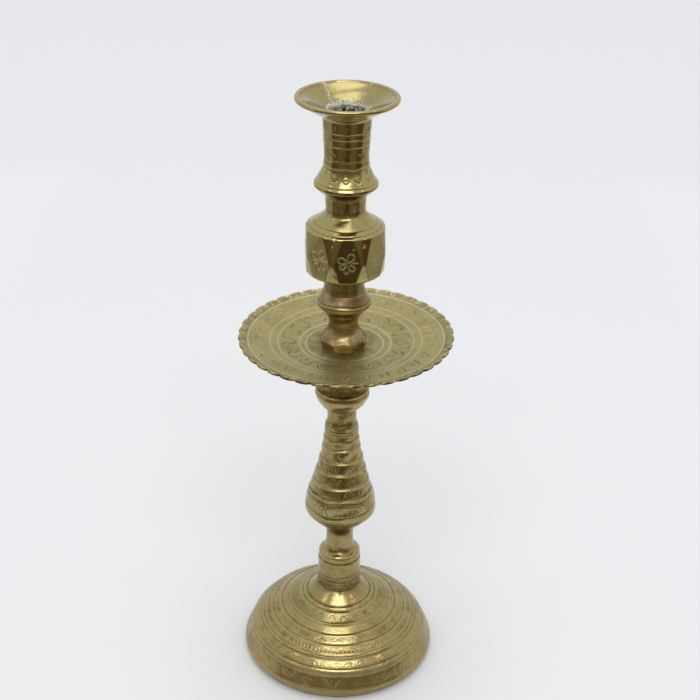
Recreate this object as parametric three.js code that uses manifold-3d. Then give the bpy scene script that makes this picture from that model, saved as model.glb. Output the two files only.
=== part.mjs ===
// Brass candlestick with a scalloped drip tray: five turned castings and a spacing collar,
// stacked on one vertical axis and screwed together, face to face, on four threaded studs.
// Millimetres, +Z up, with the origin on the table under the middle of the foot.

import * as THREE from "three";
import { mergeVertices } from "three/addons/utils/BufferGeometryUtils.js";
import Module from "manifold-3d";

// Driving dimensions. Each height is the rise from the line below it, so the pieces stack up.

// Foot: a hollow dome with a solid neck, standing on a flat ring
const standingRingRadius = 61.6;
const standingRingWidth = 3.5;
const rimRadius = 65.5;
const rimRise = 6;
const rimCurve = 1.5;
const flankRadius = 60;
const flankRise = 12;
const kneeRadius = 54.5;
const kneeRise = 6.9;
const kneeCurve = 3.9;
const domeTopRadius = 21.5;
const domeRise = 20.1;
const domeCurve = 2;
const footNeckRadius = 14.4;
const footFilletRise = 7;
const footFilletHold = 0.9;
const footNeckRise = 22;
const footWall = 3;

// Lower stem: ferrule, waist, ringed bell, neck and a cup under the collar
const ferruleRadius = 14;
const ferruleRise = 4;
const waistRadius = 9.4;
const waistRise = 8;
const pinchRadius = 8.9;
const pinchRise = 7.5;
const bellUnderRadius = 12;
const bellUnderRise = 7;
const bellRadius = 23.8;
const bellRise = 14.5;
const bellRound = 2.2;
const brimRadius = 22.1;
const brimRise = 11.3;
const bellTopRadius = 10.6;
const bellCourseRises = [4.2, 7.7, 9.1, 8.2, 8.5, 6.3, 9.7];
const bellFlare = 1.6;
const courseStep = 0.6;
const courseShoulder = 0.8;
const stemNeckRadius = 9.5;
const stemNeckRise = 7.5;
const cupPinchRadius = 9.3;
const cupPinchRise = 3;
const cupUnderRadius = 14.8;
const cupUnderRise = 5;
const cupRadius = 17.6;
const cupRise = 5.8;
const cupLipRise = 3.2;
const cupLipInset = 0.4;
const coreWall = 7;

// Collar between the lower stem and the tray
const collarRadius = 17.2;
const collarWaistRadius = 11.5;
const collarBand = 1.8;
const collarHeight = 31.7;

// Drip tray: a flat middle, a shallow cone and a scalloped edge
const trayRadius = 68.1;
const trayThickness = 1.6;
const trayFlatRadius = 26;
const trayLineRadius = 62;
const trayRise = 5.3;
const trayEdgeRise = 1.8;
const scallops = 40;
const scallopDepth = 1.5;
const lobeRoundness = 1.5;
const facesPerScallop = 4;

// Upper spool: a foot ground to eight leaning sides, a waist, a flange and a long flare to its neck
const spoolFootRadius = 15.2;
const spoolFootRise = 4.4;
const spoolSides = 8;
const spoolSideReach = 13.3;
const spoolSideSlope = 0.25;
const spoolWaistRadius = 9.2;
const spoolWaistRise = 11.1;
const flangeUnderRise = 12.7;
const flangeUnderHold = 5;
const flangeRadius = 17.2;
const flangeRise = 3.4;
const flangeEdge = 0.7;
const spoolNeckRadius = 12.5;
const spoolFlareRise = 9.4;
const spoolNeckRise = 9.5;

// Knop: a drum that widens downwards, with ground faces, a sloping shoulder and a neck
const drumFootRadius = 21.3;
const drumChamferRise = 3.2;
const drumRadius = 26.4;
const drumRise = 27.6;
const drumTopRadius = 24.3;
const shieldDepth = 0.1;
const shieldSlope = 0.008;
const cornerFall = 17;
const cornerSlope = 0.13;
const shields = 8;
const shieldTurn = 5.3;
const shoulderRadius = 16;
const shoulderRise = 6;
const knopNeckRadius = 12.2;
const knopFilletRise = 5.3;
const knopNeckRise = 8.1;
const knopTopRadius = 12.6;
const knopTopBand = 1;

// Candle socket: a sharp bulge, a ringed neck and a wide dish round the candle bore
const bulgeUnderRise = 6.7;
const bulgeRadius = 19.65;
const bulgeRise = 1.6;
const bulgeTopRadius = 13.8;
const bulgeTopRise = 12.2;
const socketNeckRadius = 13.45;
const socketNeckRise = 5;
const underDishRadius = 14.65;
const underDishRise = 23;
const dishSpreadRadius = 19.4;
const dishSpreadRise = 4;
const dishUnderRadius = 28.5;
const dishUnderRise = 5.6;
const dishRadius = 31.1;
const dishEdgeRise = 2.4;
const dishLipRise = 1;
const dishLipWidth = 3.1;
const dishLipRound = 0.4;
const dishLipDrop = 0.7;
const boreRadius = 11;
const boreMouthDepth = 9.2;
const boreFloorHeight = 18.5;

// Studs: plain rods at the thread's outer size, in tapped holes with a clearance
const studRadius = 5;
const tappedClearance = 0.3;
const passingClearance = 0.5;
const studChamfer = 0.8;
const studReachDown = 14;
const studReachUp = 13;
const socketStudReachUp = 11;
const holeEndClearance = 1;

// Faces round each turned piece
const footFaces = 48;
const castingFaces = 32;
const studFaces = 16;
const curvePoints = 4;

const studHole = studRadius + tappedClearance;
const passingHole = studRadius + passingClearance;

const wasm = await Module();
wasm.setup();

const sum = (rises) => rises.reduce((total, rise) => total + rise, 0);

// Heights of the pieces
const domeHeight = rimRise + flankRise + kneeRise + domeRise;
const footHeight = domeHeight + footFilletRise + footNeckRise;
const bellBottom = ferruleRise + waistRise + pinchRise;
const brimHeight = bellBottom + bellUnderRise + bellRise + brimRise;
const bellTop = brimHeight + sum(bellCourseRises);
const cupBottom = bellTop + stemNeckRise + cupPinchRise;
const stemHeight = cupBottom + cupUnderRise + cupRise + cupLipRise;
const spoolWaistHeight = spoolFootRise + spoolWaistRise;
const flangeBottom = spoolWaistHeight + flangeUnderRise;
const spoolHeight = flangeBottom + flangeRise + spoolFlareRise + spoolNeckRise;
const drumHeight = drumChamferRise + drumRise;
const knopHeight = drumHeight + shoulderRise + knopFilletRise + knopNeckRise;
const underDishHeight = bulgeUnderRise + bulgeRise + bulgeTopRise + socketNeckRise + underDishRise;
const dishEdgeHeight = underDishHeight + dishSpreadRise + dishUnderRise + dishEdgeRise;
const socketHeight = dishEdgeHeight + dishLipRise;

// Heights of the seams above the table
const stemBottom = footHeight;
const collarBottom = stemBottom + stemHeight;
const trayBottom = collarBottom + collarHeight;
const spoolBottom = trayBottom + trayThickness;
const knopBottom = spoolBottom + spoolHeight;
const socketBottom = knopBottom + knopHeight;

function brass(color, roughness) {
  return new THREE.MeshStandardMaterial({ color, roughness, metalness: 1 });
}

const agedBrass = brass(0x8f7d3c, 0.32);
const polishedBrass = brass(0xb39a4e, 0.24);
const studBrass = brass(0x9a8440, 0.45);

// A profile of radius and height, closed on itself, turned about the vertical axis
function turned(points, faces) {
  const profile = points.map(([r, z]) => new THREE.Vector2(r, z));
  profile.push(profile[0].clone());
  const geometry = new THREE.LatheGeometry(profile, faces);
  return welded(geometry.rotateX(Math.PI / 2));
}

function welded(geometry) {
  geometry.deleteAttribute("normal");
  geometry.deleteAttribute("uv");
  return mergeVertices(geometry, 1e-4);
}

// The points of a path that bends with quadratic curves and straight lines
function sampled(path) {
  return path.getPoints(curvePoints).map((p) => [p.x, p.y]);
}

function solidOf(geometry) {
  const vertProperties = Float32Array.from(geometry.attributes.position.array);
  const triVerts = Uint32Array.from(geometry.index.array);
  return new wasm.Manifold(new wasm.Mesh({ numProp: 3, vertProperties, triVerts }));
}

function geometryOf(solid) {
  const mesh = solid.getMesh();
  const geometry = new THREE.BufferGeometry();
  geometry.setAttribute("position", new THREE.BufferAttribute(mesh.vertProperties, 3));
  geometry.setIndex(new THREE.BufferAttribute(mesh.triVerts, 1));
  return geometry;
}

// Outside of the dome from the standing ring up to the seam, then the stud hole and the hollow
function footShape() {
  const flankTop = rimRise + flankRise;
  const kneeTop = flankTop + kneeRise;
  const crownRadius = (kneeRadius + domeTopRadius) / 2;
  const crown = (kneeTop + domeHeight) / 2;
  const filletTop = domeHeight + footFilletRise;
  const outside = new THREE.Path();
  outside.moveTo(standingRingRadius, 0);
  outside.quadraticCurveTo(rimRadius - rimCurve, rimRise / 2, rimRadius, rimRise);
  outside.lineTo(flankRadius, flankTop);
  outside.quadraticCurveTo(flankRadius - rimCurve, flankTop + kneeCurve, kneeRadius, kneeTop);
  outside.quadraticCurveTo(crownRadius, crown + domeCurve, domeTopRadius, domeHeight);
  const hold = footNeckRadius + footFilletHold;
  outside.quadraticCurveTo(hold, filletTop - footFilletHold * 1.5, footNeckRadius, filletTop);
  outside.lineTo(footNeckRadius, footHeight);

  const hollow = new THREE.Path();
  const ringInside = standingRingRadius - standingRingWidth;
  const slope = Math.atan2(domeRise, kneeRadius - domeTopRadius);
  const wallUpright = footWall / Math.cos(slope);
  hollow.moveTo(studHole, domeHeight - footWall);
  hollow.lineTo(domeTopRadius, domeHeight - wallUpright);
  hollow.lineTo(crownRadius, crown + domeCurve / 2 - wallUpright);
  hollow.lineTo(kneeRadius - footWall, kneeTop - footWall);
  hollow.quadraticCurveTo(flankRadius - footWall, flankTop, ringInside + footWall / 3, rimRise);
  hollow.lineTo(ringInside, 0);
  return turned([...sampled(outside), [studHole, footHeight], ...sampled(hollow)], footFaces);
}

// Each course of the bell rises almost upright and ends in a narrow shoulder under the next one
function bellCourses() {
  const courses = [];
  const bellHeight = sum(bellCourseRises);
  let height = brimHeight;
  for (const rise of bellCourseRises) {
    height += rise;
    const left = Math.max((bellTop - height) / bellHeight, 0);
    const middle = bellTopRadius + (brimRadius - bellTopRadius) * left ** bellFlare;
    courses.push([middle + courseStep / 2, height - courseShoulder]);
    courses.push([middle - courseStep / 2, height]);
  }
  return courses;
}

function lowerStemShape() {
  const below = new THREE.Path();
  const waistHeight = ferruleRise + waistRise;
  const bellFlank = bellBottom + bellUnderRise;
  const bellWidest = bellFlank + bellRise;
  below.moveTo(ferruleRadius, 0);
  below.lineTo(ferruleRadius, ferruleRise);
  below.quadraticCurveTo(waistRadius, ferruleRise + waistRise / 2, waistRadius, waistHeight);
  below.lineTo(pinchRadius, bellBottom - pinchRise / 4);
  below.quadraticCurveTo(pinchRadius, bellBottom + bellUnderRise / 2, bellUnderRadius, bellFlank);
  below.lineTo(bellRadius - bellRound, bellWidest - bellRound * 2);
  below.quadraticCurveTo(bellRadius, bellWidest - bellRound, bellRadius, bellWidest);
  below.lineTo(brimRadius, brimHeight);

  const above = new THREE.Path();
  const neckTop = bellTop + stemNeckRise;
  const cupFlank = cupBottom + cupUnderRise;
  above.moveTo(stemNeckRadius, bellTop + stemNeckRise / 2);
  above.lineTo(stemNeckRadius, neckTop);
  above.lineTo(cupPinchRadius, neckTop + cupPinchRise / 2);
  above.lineTo(cupPinchRadius, cupBottom);
  above.quadraticCurveTo(cupPinchRadius, cupBottom + cupUnderRise / 4, cupUnderRadius, cupFlank);
  above.lineTo(cupRadius, cupFlank + cupRise);
  above.lineTo(cupRadius - cupLipInset, stemHeight);

  const coreRadius = brimRadius - coreWall;
  const bore = [
    [studHole, stemHeight],
    [studHole, brimHeight + coreWall],
    [coreRadius, brimHeight],
    [coreRadius, bellWidest],
    [studHole, bellWidest - coreWall],
    [studHole, 0],
  ];
  return turned([...sampled(below), ...bellCourses(), ...sampled(above), ...bore], castingFaces);
}

// A spool-shaped spacer with a narrow waist and a flat band at each end
function collarShape() {
  const side = new THREE.Path();
  const middle = collarHeight / 2;
  const waistHold = collarWaistRadius - collarBand / 2;
  side.moveTo(collarRadius, 0);
  side.lineTo(collarRadius, collarBand);
  side.quadraticCurveTo(waistHold, collarBand * 2, collarWaistRadius, middle);
  side.quadraticCurveTo(waistHold, collarHeight - collarBand * 2, collarRadius, collarHeight - collarBand);
  side.lineTo(collarRadius, collarHeight);
  return turned([...sampled(side), [passingHole, collarHeight], [passingHole, 0]], castingFaces);
}

// The edge is pulled in between the scallops, outside the engraved line
function trayShape() {
  const edge = trayRise + trayEdgeRise;
  const geometry = turned([
    [passingHole, 0],
    [trayFlatRadius, 0],
    [trayLineRadius, trayRise],
    [trayRadius, edge],
    [trayRadius, edge + trayThickness],
    [trayLineRadius, trayRise + trayThickness],
    [trayFlatRadius, trayThickness],
    [passingHole, trayThickness],
  ], scallops * facesPerScallop);
  const place = geometry.attributes.position;
  for (let i = 0; i < place.count; i++) {
    const [x, y] = [place.getX(i), place.getY(i)];
    if (Math.hypot(x, y) > (trayLineRadius + trayRadius) / 2) {
      const along = Math.atan2(y, x) * scallops / 2;
      const notch = scallopDepth * (1 - Math.abs(Math.sin(along))) ** lobeRoundness;
      const pull = 1 - notch / trayRadius;
      place.setXY(i, x * pull, y * pull);
    }
  }
  return geometry;
}

// Turned first, then its foot is ground to eight sides that lean outwards
function spoolShape() {
  const side = new THREE.Path();
  const flangeTop = flangeBottom + flangeRise;
  const edgeRadius = flangeRadius - flangeEdge;
  const flareTop = flangeTop + spoolFlareRise;
  const undercut = spoolFootRise + spoolWaistRise / 3;
  const flareHold = (flangeTop + flareTop) / 2;
  side.moveTo(spoolFootRadius, 0);
  side.lineTo(spoolFootRadius, spoolFootRise);
  side.quadraticCurveTo(spoolWaistRadius + flangeEdge, undercut, spoolWaistRadius, spoolWaistHeight);
  side.quadraticCurveTo(spoolWaistRadius, spoolWaistHeight + flangeUnderHold, edgeRadius, flangeBottom);
  side.lineTo(flangeRadius, flangeBottom + flangeEdge);
  side.lineTo(flangeRadius, flangeTop - flangeEdge);
  side.lineTo(edgeRadius, flangeTop);
  side.quadraticCurveTo(spoolNeckRadius + flangeEdge, flareHold, spoolNeckRadius, flareTop);
  side.lineTo(spoolNeckRadius, spoolHeight);
  const bore = [[studHole, spoolHeight], [studHole, 0]];
  let body = solidOf(turned([...sampled(side), ...bore], castingFaces));

  for (let i = 0; i < spoolSides; i++) {
    const azimuth = (2 * Math.PI * i) / spoolSides - Math.PI / 2;
    body = body.subtract(groundFace(azimuth, spoolSideReach, 0, spoolSideSlope));
  }
  return geometryOf(body);
}

// A slab whose inner face is a leaning plane that passes the given radius at the given height
function groundFace(azimuth, radius, height, slope) {
  const size = drumRadius * 3;
  const slab = new THREE.BoxGeometry(size, size, size);
  slab.translate(size / 2, 0, 0).rotateY(Math.atan(slope)).translate(radius, 0, height);
  slab.rotateZ(azimuth);
  return solidOf(welded(slab));
}

function knopShape() {
  const side = new THREE.Path();
  const shoulderTop = drumHeight + shoulderRise;
  const neckBottom = shoulderTop + knopFilletRise;
  side.moveTo(drumFootRadius, 0);
  side.lineTo(drumRadius, drumChamferRise);
  side.lineTo(drumTopRadius, drumHeight);
  side.lineTo(shoulderRadius, shoulderTop);
  side.quadraticCurveTo(knopNeckRadius, shoulderTop + knopFilletRise / 2, knopNeckRadius, neckBottom);
  side.lineTo(knopTopRadius, knopHeight - knopTopBand);
  side.lineTo(knopTopRadius, knopHeight);

  const coreRadius = drumTopRadius - coreWall;
  const coreTop = drumHeight - coreWall / 2;
  const coreBottom = drumChamferRise + coreWall;
  const core = [
    [studHole, knopHeight],
    [studHole, coreTop],
    [coreRadius, coreTop],
    [coreRadius, coreBottom + coreWall / 2],
    [studHole, coreBottom],
    [studHole, 0],
  ];
  let body = solidOf(turned([...sampled(side), ...core], footFaces));

  const shieldRadius = drumTopRadius - shieldDepth;
  const cornerHeight = drumHeight - cornerFall;
  const cornerRadius = drumTopRadius + ((drumRadius - drumTopRadius) * cornerFall) / drumRise;
  const turn = THREE.MathUtils.degToRad(shieldTurn) - Math.PI / 2;
  for (let i = 0; i < shields; i++) {
    const azimuth = turn + (2 * Math.PI * i) / shields;
    const between = azimuth + Math.PI / shields;
    body = body.subtract(groundFace(azimuth, shieldRadius, drumHeight, shieldSlope));
    body = body.subtract(groundFace(between, cornerRadius, cornerHeight, cornerSlope));
  }
  return geometryOf(body);
}

// Outside from the seat up to the lip, then down the dish and the candle bore to its floor
function socketShape() {
  const outside = new THREE.Path();
  const edge = bulgeUnderRise;
  const bulgeTop = edge + bulgeRise + bulgeTopRise;
  const neckTop = bulgeTop + socketNeckRise;
  const spread = underDishHeight + dishSpreadRise;
  const lipUnder = spread + dishUnderRise;
  const lipTop = dishRadius - dishLipRound;
  outside.moveTo(knopTopRadius, 0);
  outside.lineTo(bulgeRadius, edge);
  outside.lineTo(bulgeRadius, edge + bulgeRise);
  outside.quadraticCurveTo(bulgeTopRadius, bulgeTop - bulgeTopRise / 3, bulgeTopRadius, bulgeTop);
  outside.lineTo(socketNeckRadius, neckTop);
  outside.lineTo(underDishRadius, underDishHeight);
  outside.quadraticCurveTo(underDishRadius, underDishHeight + dishSpreadRise / 2, dishSpreadRadius, spread);
  outside.lineTo(dishUnderRadius, lipUnder);
  outside.quadraticCurveTo(dishRadius, lipUnder + dishEdgeRise / 2, dishRadius, dishEdgeHeight);
  outside.lineTo(lipTop, socketHeight);
  outside.lineTo(dishRadius - dishLipWidth, socketHeight - dishLipDrop);
  outside.lineTo(boreRadius, socketHeight - boreMouthDepth);
  outside.lineTo(boreRadius, boreFloorHeight);
  const holeTop = socketStudReachUp + holeEndClearance;
  const profile = [
    [0, holeTop],
    [studHole, holeTop],
    [studHole, 0],
    ...sampled(outside),
    [0, boreFloorHeight],
  ];
  return turnedToAxis(profile, castingFaces);
}

// A profile that starts and ends on the axis, with the empty faces at the axis left out
function turnedToAxis(points, faces) {
  const profile = points.map(([r, z]) => new THREE.Vector2(r, z));
  const geometry = welded(new THREE.LatheGeometry(profile, faces).rotateX(Math.PI / 2));
  const corners = geometry.index.array;
  const kept = [];
  for (let i = 0; i < corners.length; i += 3) {
    const [a, b, c] = corners.slice(i, i + 3);
    if (a !== b && b !== c && c !== a) {
      kept.push(a, b, c);
    }
  }
  geometry.setIndex(kept);
  return geometry;
}

function studShape(length) {
  const tip = studRadius - studChamfer;
  return turnedToAxis([
    [0, 0],
    [tip, 0],
    [studRadius, studChamfer],
    [studRadius, length - studChamfer],
    [tip, length],
    [0, length],
  ], studFaces);
}

const candlestick = new THREE.Group();

function place(name, geometry, material, height) {
  const mesh = new THREE.Mesh(geometry, material);
  mesh.name = name;
  mesh.position.z = height;
  candlestick.add(mesh);
}

function placeStud(name, from, to) {
  place(name, studShape(to - from), studBrass, from);
}

place("foot", footShape(), agedBrass, 0);
place("lower_stem", lowerStemShape(), agedBrass, stemBottom);
place("tray_collar", collarShape(), agedBrass, collarBottom);
place("drip_tray", trayShape(), polishedBrass, trayBottom);
place("upper_spool", spoolShape(), agedBrass, spoolBottom);
place("knop", knopShape(), polishedBrass, knopBottom);
place("candle_socket", socketShape(), polishedBrass, socketBottom);

placeStud("foot_stud", stemBottom - studReachDown, stemBottom + studReachUp);
placeStud("tray_stud", collarBottom - studReachDown, spoolBottom + studReachUp);
placeStud("knop_stud", knopBottom - studReachDown, knopBottom + studReachUp);
placeStud("socket_stud", socketBottom - studReachDown, socketBottom + socketStudReachUp);

export default candlestick;
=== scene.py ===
# %% [markdown]
# # An old turned and engraved brass candlestick
#
# The real thing is a stack of sand castings. Each casting was turned bright on a lathe, its rings were
# cut while it spun, and its small marks were punched and chased by hand afterwards. The castings are
# screwed together on short threaded studs, with a thin hammered tray held between two of them.
#
# This script dresses the CAD frame. Every casting is rebuilt as one fine mesh: an outline is turned
# round the axis, and the rings, punch marks, dents and pits are pressed into its points.

# %% Load the frame
import math

import bpy
import numpy as np
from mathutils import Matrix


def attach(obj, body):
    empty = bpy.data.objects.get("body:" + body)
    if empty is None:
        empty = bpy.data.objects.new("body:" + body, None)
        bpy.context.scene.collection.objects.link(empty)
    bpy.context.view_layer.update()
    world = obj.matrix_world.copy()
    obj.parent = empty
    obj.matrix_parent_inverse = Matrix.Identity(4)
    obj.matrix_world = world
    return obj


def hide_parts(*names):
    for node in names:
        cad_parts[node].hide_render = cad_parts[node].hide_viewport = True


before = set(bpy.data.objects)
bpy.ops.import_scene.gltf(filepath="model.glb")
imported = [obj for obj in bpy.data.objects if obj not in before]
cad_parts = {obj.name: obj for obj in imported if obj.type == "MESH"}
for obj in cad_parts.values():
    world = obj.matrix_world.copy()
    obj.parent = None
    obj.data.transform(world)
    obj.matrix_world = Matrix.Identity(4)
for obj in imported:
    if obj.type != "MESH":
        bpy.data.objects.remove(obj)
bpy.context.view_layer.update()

# %% [markdown]
# ## Units, chance and colour
#
# Brass workers measure in millimetres and Blender in metres, so one constant turns the first into the
# second. All chance comes from one seeded source, so that every run gives the same dents. Colours are
# written as sRGB hex, as a colour picker shows them, and one function turns them to linear light.

# %% Units, chance and colour
MM = 0.001
chance = np.random.default_rng(1890)


def linear(hex_colour):
    """A hex colour as the linear RGBA that shaders use."""
    parts = [int(hex_colour[i:i + 2], 16) / 255 for i in (1, 3, 5)]
    light = [p / 12.92 if p <= 0.04045 else ((p + 0.055) / 1.055) ** 2.4 for p in parts]
    return (*light, 1.0)


print("old brass is", [round(v, 3) for v in linear("#B0A56B")])

# %% [markdown]
# ## The outline of a casting
#
# A turner works from a template, which is half of the casting's outline. Here it is a list of
# (radius, height) corners. Where a third value stands beside a point, the line doesn't go through it
# but bends towards it, as a quadratic curve. The list starts at the top of the bore, runs down the
# outside and comes back up the bore, so the outward side is always on its left. A Bezier curve with a
# Screw modifier would turn it too, but the marks that come later need every point of the mesh.

# %% Trace an outline
PULL = "pull"
TRACE_STEP = 0.1


def trace(corners):
    """Points every tenth of a millimetre along the corners and bends of an outline."""
    points = [np.array(corners[0][:2], float)]
    i = 1
    while i < len(corners):
        start = points[-1]
        bent = len(corners[i]) == 3
        end = np.array(corners[i + 1] if bent else corners[i], float)
        pull = np.array(corners[i][:2], float) if bent else (start + end) / 2
        length = np.linalg.norm(pull - start) + np.linalg.norm(end - pull)
        t = np.linspace(0, 1, max(2, round(length / TRACE_STEP) + 1))[1:, None]
        points += list((1 - t) ** 2 * start + 2 * t * (1 - t) * pull + t ** 2 * end)
        i += 2 if bent else 1
    return np.array(points)


def along(points):
    """How far along the outline each point is, in millimetres."""
    steps = np.linalg.norm(np.diff(points, axis=0), axis=1)
    return np.concatenate([[0], np.cumsum(steps)])


def outward(points):
    """The direction straight out of the metal at each point of the outline."""
    run = np.gradient(points, axis=0)
    left = np.stack([-run[:, 1], run[:, 0]], 1)
    return left / np.maximum(np.linalg.norm(left, axis=1, keepdims=True), 1e-9)


def softened(values, reach):
    """The values blurred along the outline over a reach in millimetres."""
    half = int(3 * reach / TRACE_STEP)
    weight = np.exp(-0.5 * (np.arange(-half, half + 1) * TRACE_STEP / reach) ** 2)
    weight /= weight.sum()
    padded = np.pad(values, ((half, half), (0, 0)), mode="edge")
    return np.stack([np.convolve(padded[:, k], weight, "valid") for k in range(values.shape[1])], 1)


def measure(name, outside):
    """Prints how wide an outline is and between which heights it lies."""
    points = trace(outside)
    low, high = points[:, 1].min(), points[:, 1].max()
    print(f"{name} outline: {2 * points[:, 0].max():.1f} mm across, from {low:.1f} to {high:.1f} mm up")


measure("a ball of 20 mm, traced as a test,", [(0, 10), (10, 10, PULL), (10, 0), (10, -10, PULL), (0, -10)])

# %% [markdown]
# ## Rings cut on the lathe
#
# A ring is a groove or a bead that runs all the way round. It is given by a point on the outline, half
# its width and its height: a groove has a height below nothing. A fifth number says how full of dried
# polish the groove is, and on the tray it also paints the highlight of a fine cut: 1 fills its middle,
# and more fills its sides as well. A bump map could fake them, but rings that change the outline itself
# also show at the edge of the piece, as real ones do.

# %% Cut the rings
FULL_CUT = 0.35


def nearest(points, spot):
    """The number of the outline's point that is nearest to a (radius, height) spot."""
    return int(np.argmin(np.linalg.norm(points - np.array(spot), axis=1)))


def with_rings(points, rings):
    """The outline with its rings cut in, how cut each point is, from 0 to 1, and its polish and painted
    highlight.
    """
    place, side = along(points), outward(points)
    rise, groove_polish_and_highlight = np.zeros(len(points)), np.zeros(len(points))
    for radius, height, half_width, high, *polish_and_highlight in rings:
        off = place - place[nearest(points, (radius, height))]
        ring = np.exp(-(off / half_width) ** 2)
        rise += high * ring
        groove_polish_and_highlight += sum(polish_and_highlight) * ring
    return points + side * rise[:, None], np.clip(-rise / FULL_CUT, 0, 1), groove_polish_and_highlight


grooved, *_ = with_rings(trace([(10, 20), (10, 0)]), [(10, 10, 0.5, -0.3)])
print("a groove leaves a rod of 10 mm radius at", round(float(grooved[:, 0].min()), 2), "mm")

# %% [markdown]
# ## Marks punched and chased by hand
#
# After turning, the maker went round each band with a few punches and a graver, and set the same mark
# again and again by eye. A band is given by the number of marks, a point on the outline, and the
# strokes of one mark as lines of (right, up) millimetres. Each mark lands a little off its place and a
# little deeper or shallower than the last. A stroke has a soft V section with a low burr beside it.
#
# The mesh is dented by its distance from the nearest stroke. Cutting real grooves with booleans would
# be slow for hundreds of marks and would leave poor faces on the curved skin.

# %% Strokes of the marks
def arc(right, up, wide, high, start, end, points=7):
    """A bent stroke: part of an oval round (right, up), from one angle to another in degrees."""
    angle = np.radians(np.linspace(start, end, points))
    return [(right + wide * math.cos(a), up + high * math.sin(a)) for a in angle]


def stroke_distance(u, v, strokes):
    """How far each point (u, v) is from the nearest stroke."""
    best = np.full(np.shape(u), 99.0)
    for line in strokes:
        for (x0, y0), (x1, y1) in zip(line, line[1:]):
            dx, dy = x1 - x0, y1 - y0
            t = np.clip(((u - x0) * dx + (v - y0) * dy) / (dx * dx + dy * dy), 0, 1)
            best = np.minimum(best, np.hypot(u - x0 - t * dx, v - y0 - t * dy))
    return best


print("a dot 3 mm right of an upright stroke is", stroke_distance(3.0, 0.0, [[(0, -1), (0, 1)]]), "mm off it")

# %% Strike a band of marks
USUAL_WIDTH, USUAL_DEPTH, USUAL_ASTRAY = 0.3, 0.2, 0.25
BURR_SHARE, BURR_PLACE, BAND_MARGIN = 0.2, 2.1, 2


def struck(shape, band, place, around):
    """The dent, in millimetres, that a band of marks leaves on a grid of rows and columns."""
    count, spot, strokes = band["count"], band["at"], band["strokes"]
    width, deep = band.get("width", USUAL_WIDTH), band.get("deep", USUAL_DEPTH)
    middle = nearest(shape, spot)
    at, radius = along(shape)[middle], shape[middle, 0]
    astray = chance.normal(0, band.get("astray", USUAL_ASTRAY), (3, count))
    dent = np.zeros((len(place), len(around)))
    reach = max(abs(y) for line in strokes for _, y in line) + BAND_MARGIN
    rows = np.flatnonzero(np.abs(place - at) < reach)
    if len(rows) == 0:
        return dent
    turn = around * count / (2 * math.pi) + band.get("turn", 0.0)
    number = np.round(turn).astype(int)
    u = (turn - number) * 2 * math.pi * radius / count + astray[0, number % count]
    v = -(place[rows, None] - at) + astray[1, number % count][None]
    far = stroke_distance(np.broadcast_to(u, v.shape), v, strokes)
    force = np.clip(1 + astray[2, number % count], 0.35, 1.4)
    burr = np.exp(-((far - BURR_PLACE * width) / width) ** 2)
    dent[rows] = deep * force * (np.exp(-(far / width) ** 2) - BURR_SHARE * burr)
    return dent


def tally(name, bands):
    """Prints how many marks a piece has."""
    print(f"{name}: {sum(band['count'] for band in bands)} marks in {len(bands)} bands")


print("a usual stroke is", USUAL_DEPTH, "mm deep and fades over", USUAL_WIDTH, "mm to either side")

# %% [markdown]
# ## From an outline to a mesh
#
# Rows follow the outline and columns go round the axis. Rows stand close together where the outline
# bends, at rings and in bands of marks, and far apart on plain stretches and inside the bore: detail
# is spent where the eye looks. A casting that was poured and turned by hand is never quite round, so
# the skin also wanders by a few hundredths of a millimetre, which makes its reflections wavy, and the
# rings drift up and down by a little more.
#
# Some numbers go along with every point, for the materials: how much it is cut, how full of old polish
# the cut is, which on the tray's circles is also a painted highlight, how stained the place is, which on
# the collar is painted shade, how hollow, how worn, how far along the outline it lies, and whether it is
# skin that no tool has touched. Polish that dried in a mark is pale, and dirt is dark, so one candlestick
# shows both kinds.

# %% Choose the rows
HIDDEN_STEP, PLAIN_STEP, BAND_STEP, RING_STEP, CORNER_STEP, FINEST_STEP = 6.0, 1.5, 0.42, 0.26, 0.28, 0.16
CORNER, CORNER_REACH = math.radians(14), 0.75
BEND_PER_ROW, BEND_SOFTNESS = math.radians(6), 0.6


def row_places(shape, place, outside, rings, bands, finer=1.0):
    """Where the rows stand along the outline."""
    step = np.where(np.arange(len(shape)) < outside, PLAIN_STEP, HIDDEN_STEP)
    run = np.diff(shape, axis=0)
    bend = np.abs(np.diff(np.unwrap(np.arctan2(run[:, 1], run[:, 0]))))
    bend = np.concatenate([[0], bend, [0]])
    for i in np.flatnonzero(bend > CORNER):
        step[np.abs(place - place[i]) < CORNER_REACH] = CORNER_STEP
    turning = softened(bend[:, None], BEND_SOFTNESS)[:, 0] / TRACE_STEP
    step = np.minimum(step, BEND_PER_ROW / np.maximum(turning, 1e-6))
    for radius, height, half_width, *_ in rings:
        near = np.abs(place - place[nearest(shape, (radius, height))]) < 2.2 * half_width
        step[near] = np.minimum(step[near], min(RING_STEP, half_width * 0.6))
    for band in bands:
        reach = max(abs(y) for line in band["strokes"] for _, y in line) + 0.9
        near = np.abs(place - place[nearest(shape, band["at"])]) < reach
        step[near] = np.minimum(step[near], BAND_STEP)
    step = np.maximum(step / finer, FINEST_STEP)
    count = np.concatenate([[0], np.cumsum(np.diff(place) / step[1:])])
    rows = max(8, round(count[-1]))
    return np.interp(np.linspace(0, count[-1], rows + 1), count, place)


rod = trace([(10, 20), (10, 0)])
print("a plain rod 20 mm long gets", len(row_places(rod, along(rod), len(rod), [], [])), "rows")

# %% Wander of the skin
WANDER_WAVES = 9


def wander(place, around, size):
    """A gentle unevenness over the grid, in millimetres."""
    height = np.zeros((len(place), len(around)))
    for _ in range(WANDER_WAVES):
        laps = chance.integers(0, 7)
        pace, start = chance.uniform(0.12, 0.75), chance.uniform(0, 2 * math.pi)
        height += np.sin(laps * around[None] + pace * place[:, None] + start) / 3
    return size * height


print("the skin wanders in", WANDER_WAVES, "waves at once")


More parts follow.
